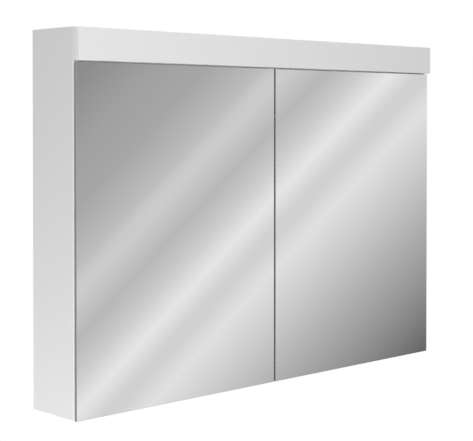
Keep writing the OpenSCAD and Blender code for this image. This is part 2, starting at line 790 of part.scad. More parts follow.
module hinge_plate() {
    plate_front = system_setback - plate_wing;
    color(steel) difference() {
        union() {
            translate([board_t, plate_front, -plate_screw_pitch / 2 - plate_wing])
                along_x(plate_t) round_rect(2 * plate_wing, plate_screw_pitch + 2 * plate_wing, plate_wing - 1);
            translate([board_t, plate_front, -cheek_z - cheek_t])
                along_x(plate_t) round_rect(arm_back + 4 - plate_front, 2 * (cheek_z + cheek_t), 3);
            translate([board_t, arm_front + 4, -boss_w / 2])
                cube([arm_top_x - web_t - board_t, arm_back - arm_front - 8, boss_w]);
        }
        for (s = [-1, 1]) translate([board_t - through, system_setback, s * plate_screw_pitch / 2])
            rod_x(euro_screw_r + running, plate_t + 2 * through);
        translate([board_t - through, arm_screw_y, 0])
            rod_x(arm_screw_r + running, arm_rise + plate_t + 2 * through);
    }
}
module hinge_screws() {
    color(steel) {
        for (s = [-1, 1]) translate([board_t - euro_screw_l + 0.3, system_setback, s * plate_screw_pitch / 2]) {
            rod_x(euro_screw_r, euro_screw_l + plate_t - 0.3);
            translate([euro_screw_l + plate_t - 0.3, 0, 0]) rotate([0, 90, 0])
                screw_head(plate_screw_head.x, plate_screw_head.y);
        }
        translate([board_t, arm_screw_y, 0]) {
            rod_x(arm_screw_r, arm_top_x - board_t);
            translate([arm_top_x - board_t, 0, 0]) rotate([0, 90, 0])
                screw_head(arm_screw_head.x, arm_screw_head.y);
        }
    }
}
// Pins of the arm: one above the middle for the inner link, one below it for the outer link
module arm_pins() {
    color(silver) {
        layer(link_z, link_t + layer_gap + cheek_t + 0.4) translate(pivot_a) circle(pivot_r, $fn = 32);
        layer(link_z, link_t + layer_gap + cheek_t + 0.4, false) translate(pivot_b) circle(pivot_r, $fn = 32);
    }
}
// A link's outline: a bar with an eye of radius r at each end
module link_outline(p, q, r) {
    bar(p, q, link_r - 0.2);
    for (c = [p, q]) translate(c) circle(r, $fn = 32);
}
module inner_link() {
    color(silver) difference() {
        layer(link_z, link_t) link_outline(pivot_a, pivot_c, link_r);
        for (p = [pivot_a, pivot_c]) pivot_hole(p, pivot_r + running);
    }
}
module outer_link() {
    eye = pivot_d_place + eye_shift;
    color(silver) difference() {
        layer(link_z, link_t, false) link_outline(pivot_b, eye, eye_r);
        pivot_hole(pivot_b, pivot_r + running);
        pivot_hole(eye, pivot_r + eye_slack);
    }
}
// Housing on the door: a bonded plate with a window for the arm, and two lugs that hold the pins
module lug_outline() {
    bar(pivot_c, pivot_d_place, link_r);
    polygon([[bond_x, -bond_face()], [bond_x, pivot_c.y], [pivot_d_place.x + link_r, pivot_d_place.y],
        [window_x, -bond_face()]]);
}
function bond_face() = door_gap - bond_t;
module hinge_housing() {
    color(steel) difference() {
        union() {
            translate([bond_x, -door_gap, -bond_h / 2]) rotate([90, 0, 0]) mirror([0, 0, 1])
                linear_extrude(bond_t) difference() {
                    round_rect(bond_w, bond_h, 5);
                    translate([window_x - bond_x, bond_h / 2 - lug_z - 0.2]) square([bond_w, 2 * lug_z + 0.4]);
                }
            layer(lug_z, lug_t) lug_outline();
            layer(lug_z, lug_t, false) lug_outline();
        }
        for (p = [pivot_c, pivot_d_place]) pivot_hole(p, pivot_r + running);
    }
}
module housing_pins() {
    reach = lug_z + lug_t - link_z;
    color(silver) {
        layer(link_z, reach) translate(pivot_c) circle(pivot_r, $fn = 32);
        layer(link_z, reach, false) translate(pivot_d_place) circle(pivot_r, $fn = 32);
    }
}
module hinge_left_plates() { at_hinges() hinge_plate(); }
module hinge_left_arms() { color(steel) at_hinges() hinge_arm(); }
module hinge_left_screws() { at_hinges() hinge_screws(); }
module hinge_left_arm_pins() { at_hinges() arm_pins(); }
module hinge_left_inner_links() { at_hinges() inner_link(); }
module hinge_left_outer_links() { at_hinges() outer_link(); }
module hinge_left_housings() { at_hinges() hinge_housing(); }
module hinge_left_housing_pins() { at_hinges() housing_pins(); }
module hinge_right_plates() { mirror([1, 0, 0]) hinge_left_plates(); }
module hinge_right_arms() { mirror([1, 0, 0]) hinge_left_arms(); }
module hinge_right_screws() { mirror([1, 0, 0]) hinge_left_screws(); }
module hinge_right_arm_pins() { mirror([1, 0, 0]) hinge_left_arm_pins(); }
module hinge_right_inner_links() { mirror([1, 0, 0]) hinge_left_inner_links(); }
module hinge_right_outer_links() { mirror([1, 0, 0]) hinge_left_outer_links(); }
module hinge_right_housings() { mirror([1, 0, 0]) hinge_left_housings(); }
module hinge_right_housing_pins() { mirror([1, 0, 0]) hinge_left_housing_pins(); }

// Wall fixing: the hangers' hooks drop behind the brackets' lips
module wall_bracket() {
    lip_y = -bracket_t - lip_space;
    set_back = bracket_t * (sqrt(2) - 1);
    color(steel) difference() {
        translate([bracket_x - bracket_w / 2, 0, 0]) along_x(bracket_w)
            polygon([[0, bracket_foot_z], [0, bracket_lip_z], [lip_y, bracket_lip_z - lip_y], [lip_y, bracket_top_z],
                [lip_y - bracket_t, bracket_top_z], [lip_y - bracket_t, bracket_lip_z - lip_y - set_back],
                [-bracket_t, bracket_lip_z - set_back],
                [-bracket_t, bracket_foot_z]]);
        for (s = [-1, 1]) translate([bracket_x, -bracket_t - through, s * screw_pitch / 2])
            rod_y(screw_hole_d / 2, bracket_t + 2 * through);
    }
}
module wall_bracket_right() { wall_bracket(); }
module wall_bracket_left() { mirror([1, 0, 0]) wall_bracket(); }
module hook_outline() {
    tip_y = -bracket_t - lip_space + hook_slack;
    polygon([[hook_front_y, hook_z], [-lip_space, hook_z], [tip_y, hook_z - hook_drop],
        [-hook_clear, hook_z - hook_drop], [-hook_clear, hook_z + hook_bar_h - hook_bevel],
        [-hook_clear - hook_bevel, hook_z + hook_bar_h], [hook_front_y, hook_z + hook_bar_h]]);
}
module hanger() {
    color("white") difference() {
        translate([side_x - hanger_size.x, back_y - hanger_size.y, hanger_z]) along_x(hanger_size.x)
            round_rect(hanger_size.y, hanger_size.z, 2.5);
        translate([hook_x - hook_t / 2 - slip, hook_front_y - slip, hook_z - slip])
            cube([hook_t + 2 * slip, hanger_size.y, hook_bar_h + 2 * slip]);
        for (p = hanger_screw_places) translate([side_x - hanger_size.x - through, p.x, p.y]) {
            rod_x(euro_screw_r + running, hanger_size.x + 2 * through);
            rod_x(hanger_counterbore.x, hanger_size.x - hanger_counterbore.y + through);
        }
        for (z = adjuster_zs)
            translate([hook_x, back_y - hanger_size.y - through, z]) rod_y(adjuster_r + slip, 4 + through);
    }
}
module hanger_right() { hanger(); }
module hanger_left() { mirror([1, 0, 0]) hanger(); }
module hanger_hooks() {
    color(steel) both_sides() translate([hook_x - hook_t / 2, 0, 0]) along_x(hook_t) hook_outline();
}
module hanger_screws() {
    color(steel) both_sides() {
        for (p = hanger_screw_places) translate([side_x - hanger_counterbore.y, p.x, p.y]) {
            rod_x(euro_screw_r, hanger_counterbore.y + euro_screw_l - 0.3);
            mirror([1, 0, 0]) rotate([0, 90, 0]) screw_head(3.6, 2);
        }
        for (z = adjuster_zs)
            translate([hook_x, back_y - hanger_size.y + 4, z]) rotate([90, 0, 0]) screw_head(adjuster_r, 3.5);
    }
}

side_left();
side_right();
top_panel();
bottom_panel();
light_deck();
partition();
back_panel();
fascia();
dowels();
light_profile();
light_board();
light_chips();
light_diffuser();
light_end_caps();
light_driver();
driver_screws();
light_lead();
supply_leads();
cable_gland();
gland_nut();
power_housing();
socket_insert();
earth_clips();
switch_frame();
rocker();
shelf_left_lower();
shelf_left_upper();
shelf_right_lower();
shelf_right_upper();
shelf_pins();
door_left_mirror();
door_left_inner_mirror();
door_left_buffers();
door_right_mirror();
door_right_inner_mirror();
door_right_buffers();
hinge_left_plates();
hinge_left_arms();
hinge_left_screws();
hinge_left_arm_pins();
hinge_left_inner_links();
hinge_left_outer_links();
hinge_left_housings();
hinge_left_housing_pins();
hinge_right_plates();
hinge_right_arms();
hinge_right_screws();
hinge_right_arm_pins();
hinge_right_inner_links();
hinge_right_outer_links();
hinge_right_housings();
hinge_right_housing_pins();
hanger_left();
hanger_right();
hanger_hooks();
hanger_screws();
wall_bracket_left();
wall_bracket_right();
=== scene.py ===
"""Looks, small parts, stage, light and camera for a wall-hung bathroom mirror cabinet."""
import math

import bmesh
import bpy
from mathutils import Euler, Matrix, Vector


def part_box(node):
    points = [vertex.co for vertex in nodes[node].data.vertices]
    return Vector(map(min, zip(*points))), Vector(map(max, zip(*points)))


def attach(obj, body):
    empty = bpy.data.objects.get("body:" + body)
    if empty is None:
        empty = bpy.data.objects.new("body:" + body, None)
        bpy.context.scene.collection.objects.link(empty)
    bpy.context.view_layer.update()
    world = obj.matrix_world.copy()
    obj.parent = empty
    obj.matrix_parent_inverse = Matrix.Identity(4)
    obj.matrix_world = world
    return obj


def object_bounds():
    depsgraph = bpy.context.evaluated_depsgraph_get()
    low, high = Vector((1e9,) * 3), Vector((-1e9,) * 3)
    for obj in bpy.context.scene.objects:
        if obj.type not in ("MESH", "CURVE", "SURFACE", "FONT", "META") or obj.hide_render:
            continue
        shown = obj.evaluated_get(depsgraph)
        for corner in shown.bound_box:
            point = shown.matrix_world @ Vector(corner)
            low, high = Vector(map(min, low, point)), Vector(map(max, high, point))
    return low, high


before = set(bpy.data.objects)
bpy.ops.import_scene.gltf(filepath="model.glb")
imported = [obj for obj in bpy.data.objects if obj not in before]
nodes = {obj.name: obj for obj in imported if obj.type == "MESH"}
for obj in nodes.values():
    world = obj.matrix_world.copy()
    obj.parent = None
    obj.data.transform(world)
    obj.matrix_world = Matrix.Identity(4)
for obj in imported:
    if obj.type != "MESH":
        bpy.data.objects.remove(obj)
cad_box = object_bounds()
scene = bpy.context.scene
MM = 0.001

# The photograph's frame and what was read off it, in pixels
FRAME_W = 473
FRAME_H = 441
AXIS_ROW = 139.1
FOCAL_PIXELS = 1241.0

# Camera, in metres and degrees: it stands front left of the cabinet and looks very slightly down
CAMERA_PLACE = Vector((-1.8012, -1.9586, -0.0132))
CAMERA_TURN = 42.92
CAMERA_DIP = 1.0
SENSOR_MM = 36
CLIP_START = 0.01
CLIP_END = 50

# Floor, in metres, and its greys: what it throws back, and what the camera sees round the shadow.
# The shadow's part of the floor fades to white from SHADOW_FADE of its radius outwards.
FLOOR_DROP = 0.85
FLOOR_RADIUS = 6.0
FLOOR_STEPS = 96
FLOOR_GREY = 0.85
SHADOW_RADIUS = 1.8
SHADOW_FADE = 0.6
SHADOW_GREY = 0.5
SHADOW_GLOW = 0.62

# The world's plain light, and the lamps: name, place, target and size in metres, power in watts
AMBIENT = 0.40
LAMPS = [
    ("key", (-1.45, -2.15, 0.7), (-0.2, -0.1, -0.1), 0.8, 15.5),
    ("low", (-0.8, -2.5, -0.1), (-0.1, -0.1, -0.1), 0.4, 10.5),
    ("side", (-1.25, -0.12, -0.97), (-0.5, -0.07, -0.35), 0.35, 3.1),
    ("overhead", (0.2, 0.3, 2.2), (0, -0.05, 0), 1.2, 14),
    ("behind", (0.6, 2.4, 0.4), (0, 0, -0.2), 1.2, 22),
    ("right", (2.0, 0.15, 0.5), (0.5, -0.07, -0.2), 0.9, 9),
]

# Diagonal bands of the studio that the mirrors show. They brighten and darken along a line that falls to
# the right by BAND_ANGLE degrees in the picture. Each stop is the sine of how far a direction leans that
# way, and the brightness there.
BAND_ANGLE = 43.0
BAND_STOPS = [
    # Behind the camera's left
    (-1.00, 0.55), (-0.86, 0.38), (-0.74, 0.60), (-0.58, 0.40), (-0.45, 0.62), (-0.29, 0.40),
    # Dark, and slowly up to the first band
    (-0.129, 0.28), (-0.088, 0.38), (-0.056, 0.41), (-0.024, 0.54), (-0.0115, 0.67),
    # The second band, the brightest, and its notch
    (0.0165, 0.51), (0.036, 0.64), (0.0545, 0.85), (0.074, 0.65), (0.0925, 0.81),
    # Evenly down to the dark corner
    (0.152, 0.47), (0.223, 0.13),
    # Behind the camera's right
    (0.34, 0.45), (0.42, 0.30), (0.60, 0.60), (1.00, 0.50),
]

# The fascia's ends look softly curved: from the first place to the second, in metres, their normal leans
# forward more and more, up to the last number
FASCIA_BACK = -0.132
FASCIA_FRONT = -0.148
FASCIA_LEAN = 0.68

# What tells a node's faces apart: distances in metres, and parts of a face's normal
SHELL_GAP = 0.0008
SOFT_FRONT = 0.004
FASCIA_RIM = 0.003
FASCIA_REAR = 0.0005
END_FACE = 0.98
FLAT_PANE = 0.95
FLAT_FACE = 0.9
SLOPING_PANE = 0.3
FORWARD_FACE = 0.1

# How much a plain material's roughness varies, and the scales and colours of the grained ones
ROUGH_LEAST = 0.85
ROUGH_MOST = 1.15
BRUSH_SCALE = (30, 2600, 2600)
BEECH_SCALE = (240, 240, 1500)
BEECH_DARK = (0.52, 0.32, 0.16)
BEECH_PALE = (0.72, 0.50, 0.29)
CHIPS_DARK = (0.36, 0.24, 0.13)
CHIPS_PALE = (0.68, 0.53, 0.35)
CHIPS_GAP = (0.26, 0.17, 0.09)

# How small parts are drawn: edges steeper than SHARP_ABOVE degrees stay sharp, RIVET is a head's profile
# in parts of its radius and height, and a screw's soft edge and cross are in parts of its radius
TURN_STEPS = 24
SHARP_ABOVE = 40
RIVET = ((0, 0), (1, 0), (0.97, 0.35), (0.78, 0.78), (0.42, 0.97), (0, 1))
SCREW_SOFT = 0.15
CROSS_REACH = 0.62
CROSS_TAPER = 0.85

# From here on, places and sizes are in millimetres, as the CAD part has them.
# Hinges: pivots are in plan, in from the side's outer face and back from the body's front edges. Rivets
# have a radius and a height, adjusters a place along the arm before them, and a shank is a profile.
SIDE_FACE = 500
BODY_FRONT = -130
HINGE_ZS = (-468, -23)
ARM_PIVOTS = ((41.4, 1.1), (63.2, 20.6))
DOOR_PIVOTS = ((19.4, 3.7), (19.4, 10.2))
CHEEK_FACE = 6.3
LUG_FACE = 9.0
ARM_TOP = 27.3
ARM_RIVET = (2.2, 0.6)
DOOR_RIVET = (2.2, 0.8)
SHANK = ((0, 0), (1.1, 0), (1.1, 2.0), (0.95, 2.15), (0, 2.15))
ADJUSTERS = ((45.6, 2.3, 0.9), (65.0, 3.0, 1.1))

# Light chips, each with a window of this radius and height
CHIP_COUNT = 45
CHIP_PITCH = 20
CHIP_WINDOW = (1.15, 0.22)

# The light's driver: its ears and rim, its two covers, and the ribs between them
DRIVER_EAR = 14
DRIVER_RIM = 3
DRIVER_SINK = 0.2
DRIVER_COVER = 32
DRIVER_COVER_T = 1.2
DRIVER_COVER_SOFT = 0.5
DRIVER_SCREW = {"radius": 2.4, "height": 1.1, "deep": 0.8}
DRIVER_RIBS = 9
DRIVER_RIB_MARGIN = 8
DRIVER_RIB_END = 2
DRIVER_RIB_HALF = 0.8
DRIVER_RIB_H = 0.8
DRIVER_RIB_SOFT = 0.3

# The socket's well, from the middle of its mouth: guide ribs, contact sleeves and centre screw
SOCKET = (98, -75, 27)
SOCKET_RADIUS = 19.5
SOCKET_DEPTH = 17.5
SOCKET_SINK = 0.2
SOCKET_RIB_OUT = 1.6
SOCKET_RIB_IN = 0.4
SOCKET_RIB_ASIDE = 3.4
SOCKET_RIB_HALF = 0.9
SOCKET_RIB_START = 1.2
SOCKET_RIB_SOFT = 0.3
SOCKET_SCREW = {"radius": 3.0, "height": 1.1, "deep": 0.8, "slot": 0.9}
CONTACT_PITCH = 19
CONTACT_LIFT = 0.5
CONTACT_SLEEVE = ((2.5, 0), (2.5, 4.8), (2.0, 4.8), (2.0, 0.5), (2.25, 0))

# The gland's grip ridges and its rubber ring, whose profiles start at its back face
GLAND_RADIUS = 11
GLAND_RIDGES = 18
GLAND_RIDGE = ((0, 0.3), (0.45, 0.3), (0.65, 0.5), (0.65, 2.5), (0.45, 2.7), (0, 2.7))
GLAND_SEAL = ((3.1, 1.0), (4.2, 1.0), (4.2, 5.0), (3.1, 5.0), (2.6, 4.4), (2.6, 1.6))


def camera_turn():
    """Which way the camera points."""
    return Euler((math.radians(90 - CAMERA_DIP), 0, -math.radians(CAMERA_TURN)))


def band_axis():
    """The bands run square to this direction: right and down as the doors mirror the camera's view."""
    turn = math.radians(BAND_ANGLE)
    across = camera_turn().to_matrix() @ Vector((math.cos(turn), -math.sin(turn), 0))
    return Vector((across.x, -across.y, across.z))


def circle(radius, steps):
    """Points round a circle."""
    angles = [2 * math.pi * k / steps for k in range(steps)]
    return [(radius * math.cos(a), radius * math.sin(a)) for a in angles]


def placed(name, data):
    """A new object in the scene."""
    holder = bpy.data.objects.new(name, data)
    scene.collection.objects.link(holder)
    return holder


def rgb(r, g=None, b=None):
    """A colour with alpha 1; one number gives a grey."""
    return (r, r if g is None else g, r if b is None else b, 1)


def toned(colour, factor):
    """A colour made darker or lighter."""
    return tuple(min(1, c * factor) for c in colour[:3]) + (1,)


WHITE = rgb(1.0)


# Node tools
def colour_socket(sockets, name):
    """A mix node has several sockets of one name, and this is its colour one."""
    return [s for s in sockets if s.name == name and s.type == "RGBA"][0]


class Tree:
    """A few short ways to add nodes to a node tree."""

    def __init__(self, tree):
        self.tree = tree
        tree.nodes.clear()

    def add(self, kind, settings=None, **inputs):
        """A node with its settings and inputs, whose names have underscores for spaces."""
        node = self.tree.nodes.new(kind)
        for key, value in (settings or {}).items():
            setattr(node, key, value)
        for key, value in inputs.items():
            self.put(node.inputs[key.replace("_", " ")], value)
        return node

    def put(self, socket, value):
        """Links a socket to another one, or sets its own value."""
        if isinstance(value, bpy.types.NodeSocket):
            self.tree.links.new(value, socket)
        else:
            socket.default_value = value

    def fill(self, node, *values):
        """Puts values into a node's sockets in their order, and gives the node's outputs."""
        for socket, value in zip(node.inputs, values):
            self.put(socket, value)
        return node.outputs

    def place(self):
        """Where a point of the surface is on its object."""
        return self.add("ShaderNodeTexCoord").outputs["Object"]

    def noise(self, where, scale, detail):
        return self.add("ShaderNodeTexNoise", Vector=where, Scale=scale, Detail=detail).outputs["Fac"]

    def math(self, operation, *values):
        return self.fill(self.add("ShaderNodeMath", {"operation": operation}), *values)[0]

    def vector(self, operation, *values):
        return self.fill(self.add("ShaderNodeVectorMath", {"operation": operation}), *values)

    def mix(self, factor, a, b):
        """Mixes two colours."""
        node = self.add("ShaderNodeMix", {"data_type": "RGBA"}, Factor=factor)
        self.put(colour_socket(node.inputs, "A"), a)
        self.put(colour_socket(node.inputs, "B"), b)
        return colour_socket(node.outputs, "Result")

    def mix_shaders(self, factor, a, b):
        return self.fill(self.add("ShaderNodeMixShader"), factor, a, b)[0]

    def shape(self, value, low, high, start=0.0, end=1.0):
        """Maps value from low..high to start..end."""
        ends = {"From Min": low, "From Max": high, "To Min": start, "To Max": end}
        return self.add("ShaderNodeMapRange", {"clamp": True}, Value=value, **ends).outputs["Result"]

    def relief(self, shader, height, strength, distance, normal=None):
        """Gives a shader's surface a bump."""
        bump = self.add("ShaderNodeBump", Height=height, Strength=strength, Distance=distance)
        if normal:
            self.put(bump.inputs["Normal"], normal)
        self.put(shader.inputs["Normal"], bump.outputs["Normal"])

    def soft_ends(self, back, front, lean):
        """A normal that leans forward across a board's ends, as if they curved to its front."""
        place = self.add("ShaderNodeSeparateXYZ", Vector=self.place()).outputs
        normal = self.add("ShaderNodeNewGeometry").outputs["Normal"]
        flat = self.add("ShaderNodeSeparateXYZ", Vector=normal).outputs
        on_end = self.math("GREATER_THAN", self.math("ABSOLUTE", flat["X"]), END_FACE)
        forward = self.math("MULTIPLY", self.shape(place["Y"], back, front, end=lean), on_end)
        y = self.math("SUBTRACT", flat["Y"], forward)
        joined = self.add("ShaderNodeCombineXYZ", X=flat["X"], Y=y, Z=flat["Z"]).outputs["Vector"]
        return self.vector("NORMALIZE", joined)["Vector"]

    def seen(self, rays):
        """1 for what the camera sees, also through glass."""
        return self.math("MAXIMUM", rays["Is Camera Ray"], rays["Is Transmission Ray"])


# Materials
def material(name):
    """A new material and its empty tree."""
    made = bpy.data.materials.new(name)
    made.use_nodes = True
    return made, Tree(made.node_tree)


def principled(name, **inputs):
    """A new Principled material, its tree, its shader, and where a point of its surface is."""
    made, t = material(name)
    shader = t.add("ShaderNodeBsdfPrincipled", **inputs)
    t.add("ShaderNodeOutputMaterial", Surface=shader.outputs["BSDF"])
    return made, t, shader, t.place()


def plain(name, colour, rough, metal=0.0, grain=900, spread=0.02, bump=0.02, soft_ends=None, **extra):
    """A material whose colour and roughness vary a little with a fine noise."""
    made, t, shader, where = principled(name, Metallic=metal, **extra)
    noise = t.noise(where, scale=grain, detail=3)
    tones = t.mix(noise, toned(colour, 1 - spread), toned(colour, 1 + spread)) if spread else colour
    t.put(shader.inputs["Base Color"], tones)
    roughness = t.shape(noise, 0, 1, start=rough * ROUGH_LEAST, end=min(1, rough * ROUGH_MOST))
    t.put(shader.inputs["Roughness"], roughness)
    if bump:
        normal = t.soft_ends(*soft_ends) if soft_ends else None
        t.relief(shader, noise, strength=bump, distance=0.0004, normal=normal)
    return made


def brushed(name, colour, rough):
    """A metal with fine lines along its length."""
    made, t, shader, where = principled(name, Metallic=1.0)
    lines = t.add("ShaderNodeMapping", Vector=where, Scale=BRUSH_SCALE).outputs["Vector"]
    noise = t.noise(lines, scale=1, detail=2)
    t.put(shader.inputs["Base Color"], t.mix(noise, toned(colour, 0.9), colour))
    roughness = t.shape(noise, low=0.2, high=0.8, start=rough * 0.8, end=rough * 1.25)
    t.put(shader.inputs["Roughness"], roughness)
    t.relief(shader, noise, strength=0.05, distance=0.0002)
    return made


def chipboard():
    """Raw pressed chips, for what the coating leaves bare: grooves, drilled holes and back edges."""
    made, t, shader, where = principled("raw chipboard", Roughness=0.85)
    chips = t.add("ShaderNodeTexVoronoi", Vector=where, Scale=650).outputs["Distance"]
    tone = t.mix(t.noise(where, scale=420, detail=4), rgb(*CHIPS_DARK), rgb(*CHIPS_PALE))
    off_edge = t.shape(chips, low=0, high=0.8, start=0.55)
    t.put(shader.inputs["Base Color"], t.mix(off_edge, rgb(*CHIPS_GAP), tone))
    t.relief(shader, chips, strength=0.4, distance=0.0005)
    return made


def beech():
    """Beech with fine grain lines and short darker flecks."""
    made, t, shader, where = principled("beech", Roughness=0.6)
    grain = t.add("ShaderNodeMapping", Vector=where, Scale=BEECH_SCALE).outputs["Vector"]
    flecks = t.noise(grain, scale=1, detail=3)
    off_fleck = t.shape(flecks, low=0.35, high=0.7)
    t.put(shader.inputs["Base Color"], t.mix(off_fleck, rgb(*BEECH_DARK), rgb(*BEECH_PALE)))
    t.relief(shader, flecks, strength=0.15, distance=0.0003)
    return made


COATED = plain("white coated board", rgb(0.905, 0.905, 0.90), 0.34, spread=0.004, bump=0.005)
FASCIA_WHITE = plain(
    "white fascia board", rgb(0.905, 0.905, 0.90), 0.30, spread=0.004, bump=0.004,
    soft_ends=(FASCIA_BACK, FASCIA_FRONT, FASCIA_LEAN))
# The boards' front edge band is real, but its colour is lighter than the coating as a painted highlight
# along the rounded front edges
EDGE_BAND_HIGHLIGHT = plain("white edge band with painted highlight", rgb(0.97, 0.97, 0.965), 0.24, spread=0.004, bump=0.004)
CHIPBOARD = chipboard()
BEECH = beech()
ALUMINIUM = brushed("anodised aluminium", rgb(0.78, 0.79, 0.80), 0.28)
CIRCUIT = plain("white circuit board", rgb(0.86, 0.86, 0.82), 0.45)
CHIP = plain("light chip package", rgb(0.88, 0.88, 0.85), 0.4)
PHOSPHOR = plain("yellow phosphor", rgb(0.86, 0.68, 0.16), 0.5)
OPAL = plain("opal diffuser", rgb(0.86, 0.87, 0.86), 0.42, Subsurface_Weight=0.2, Subsurface_Scale=0.004)
WHITE_PLASTIC = plain("white plastic", rgb(0.86, 0.86, 0.85), 0.28, spread=0.004, bump=0.006, grain=2600)
WARM_PLASTIC = plain(
    "off-white plastic", rgb(0.80, 0.80, 0.78), 0.38, spread=0.006, bump=0.008, grain=2600)
GREY_PLASTIC = plain("light grey plastic", rgb(0.50, 0.51, 0.52), 0.42, bump=0.012, grain=2200)
DARK_RUBBER = plain("dark grey rubber", rgb(0.05, 0.05, 0.055), 0.55, bump=0.012, grain=2200)
SHEATH = plain("white cable sheath", rgb(0.78, 0.78, 0.77), 0.45, bump=0.01, grain=2200)
BRASS = plain("contact brass", rgb(0.80, 0.62, 0.30), 0.22, metal=1.0)
NICKEL = plain("nickel-plated steel", rgb(0.80, 0.80, 0.79), 0.19, metal=1.0, spread=0.03)
NICKEL_DARK = plain("darker nickel", rgb(0.60, 0.60, 0.60), 0.26, metal=1.0, spread=0.03)
ZINC = plain("zinc-plated steel", rgb(0.62, 0.64, 0.66), 0.34, metal=1.0, grain=260, spread=0.07)
SILVER = plain("silvered glass", rgb(0.928, 0.928, 0.928), 0.004, metal=1.0, spread=0, bump=0)
GROUND = plain("ground glass edge", rgb(0.40, 0.42, 0.415), 0.34, spread=0.03)
GLASS_EDGE = plain("dark glass edge", rgb(0.262, 0.275, 0.270), 0.16, spread=0.06, grain=300, bump=0)
CLEAR_SOFT = plain("clear soft plastic", rgb(0.86, 0.88, 0.88), 0.25, Transmission_Weight=0.6, IOR=1.45)
SHELF = plain(
    "shelf glass", rgb(0.94, 0.985, 0.97), 0.01, spread=0, bump=0, Transmission_Weight=1.0, IOR=1.5)
SHELF_EDGE = plain(
    "shelf glass edge", rgb(0.42, 0.68, 0.60), 0.15, spread=0.05, grain=240, bump=0,
    Transmission_Weight=0.35, IOR=1.5)


# What each CAD node is made of
def dress(name, *materials, choose=None):
    """Gives a CAD node its materials; choose picks a material's number for a face."""
    mesh = nodes[name].data
    mesh.materials.clear()
    for made in materials:
        mesh.materials.append(made)
    for face in mesh.polygons:
        face.material_index = choose(face) if choose else 0


def node_names(*starts):
    """CAD nodes whose names start with one of these words."""
    return [n for n in nodes if n.startswith(starts)]


def coated_faces(name):
    """Coating outside, a front edge band whose lighter colour is a painted highlight, and raw board in
    holes, grooves and on the back edge.
    """
    low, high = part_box(name)
    has_edges = name != "back_panel"

    def near(place, corner, axis):
        return abs(place[axis] - corner[axis]) < SHELL_GAP

    def choose(face):
        place = face.center
        on_shell = any(near(place, low, k) or near(place, high, k) for k in range(3))
        on_front = place.y < low.y + SOFT_FRONT
        if has_edges and near(place, high, 1) and face.normal.y > FLAT_FACE:
            return 1
        # Front edge faces get the band, lightened as a painted highlight
        if has_edges and on_front and face.normal.y < -FORWARD_FACE:
            return 2
        return 0 if on_shell or on_front else 1

    return choose


def fascia_faces():
    """The fascia is coated all round; only its holes and the light's slot are bare."""
    low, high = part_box("fascia")

    def choose(face):
        place = face.center
        in_width = low.x + FASCIA_RIM < place.x < high.x - FASCIA_RIM
        in_depth = low.y + FASCIA_RIM < place.y < high.y - FASCIA_REAR
        in_height = low.z + FASCIA_RIM < place.z < high.z - FASCIA_RIM
        return 1 if in_width and in_depth and in_height else 0

    return choose


def pane_faces(face):
    """Silver on the flat faces, ground glass on the sloping edges, dark glass on the sides."""
    straight = abs(face.normal.y)
    if straight > FLAT_PANE:
        return 0
    return 1 if straight > SLOPING_PANE else 2


def shelf_faces(face):
    """Clear glass above and below, and tinted edges."""
    return 0 if abs(face.normal.z) > FLAT_FACE else 1


def dress_nodes():
    """Every CAD node's materials."""
    boards = [
        "side_left", "side_right", "top_panel", "bottom_panel", "light_deck", "partition", "back_panel"]
    for n in boards:
        dress(n, COATED, CHIPBOARD, EDGE_BAND_HIGHLIGHT, choose=coated_faces(n))
    dress("fascia", FASCIA_WHITE, CHIPBOARD, choose=fascia_faces())
    finishes = {
        BEECH: ["dowels"],
        ALUMINIUM: ["light_profile"],
        CIRCUIT: ["light_board"],
        CHIP: ["light_chips"],
        OPAL: ["light_diffuser"],
        GREY_PLASTIC: ["cable_gland", "gland_nut"],
        SHEATH: ["light_lead", "supply_leads"],
        BRASS: ["earth_clips"],
        WARM_PLASTIC: ["light_driver", "light_end_caps", "switch_frame"],
        WHITE_PLASTIC: ["power_housing", "socket_insert", "rocker", "hanger_left", "hanger_right"],
        ZINC: ["wall_bracket_left", "wall_bracket_right", "hanger_hooks"],
        CLEAR_SOFT: ["door_left_buffers", "door_right_buffers"],
        NICKEL: node_names("hinge_", "driver_screws", "hanger_screws", "shelf_pins"),
    }
    for made, names in finishes.items():
        for n in names:
            dress(n, made)
    for side in ("left", "right"):
        for n in ("hinge_%s_inner_links", "hinge_%s_outer_links"):
            dress(n % side, NICKEL_DARK)
        for n in ("door_%s_mirror", "door_%s_inner_mirror"):
            dress(n % side, SILVER, GROUND, GLASS_EDGE, choose=pane_faces)
        for n in ("shelf_%s_lower", "shelf_%s_upper"):
            dress(n % side, SHELF, SHELF_EDGE, choose=shelf_faces)


# Small parts, drawn in millimetres in the shared frame
def box_mm(node):
    """A CAD node's lowest and highest corners, in millimetres."""
    return [[c / MM for c in corner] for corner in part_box(node)]


def dome(radius, height):
    """A closed rivet head's profile."""
    return [(radius * across, height * up) for across, up in RIVET]


